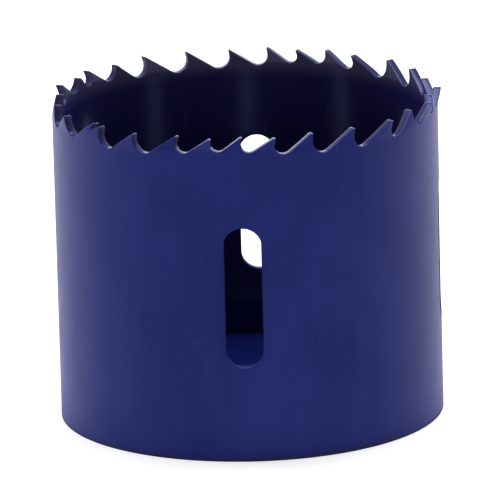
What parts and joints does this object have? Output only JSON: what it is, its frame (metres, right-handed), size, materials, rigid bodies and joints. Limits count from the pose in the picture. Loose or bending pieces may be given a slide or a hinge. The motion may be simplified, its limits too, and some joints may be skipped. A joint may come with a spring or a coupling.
{
  "type": "hole saw",
  "caption": "Deep-blue bi-metal hole saw: thin toothed cup with obround side slots and a base plate with a threaded arbor hole and drive-pin holes.",
  "frame": {"origin": "centre of the base plate's outer face, on the arbor axis", "axes": "+Z along the arbor axis from the base plate to the teeth; -Y towards the slot that the front view shows; +X to the right"},
  "size_m": [0.0505, 0.0506, 0.0425],
  "materials": {
    "wall_enamel": "gloss",
    "base_enamel": "gloss"
  },
  "bodies": {
    "root": {"toothed_wall": "wall_enamel", "base_plate": "base_enamel"}
  },
  "joints": []
}
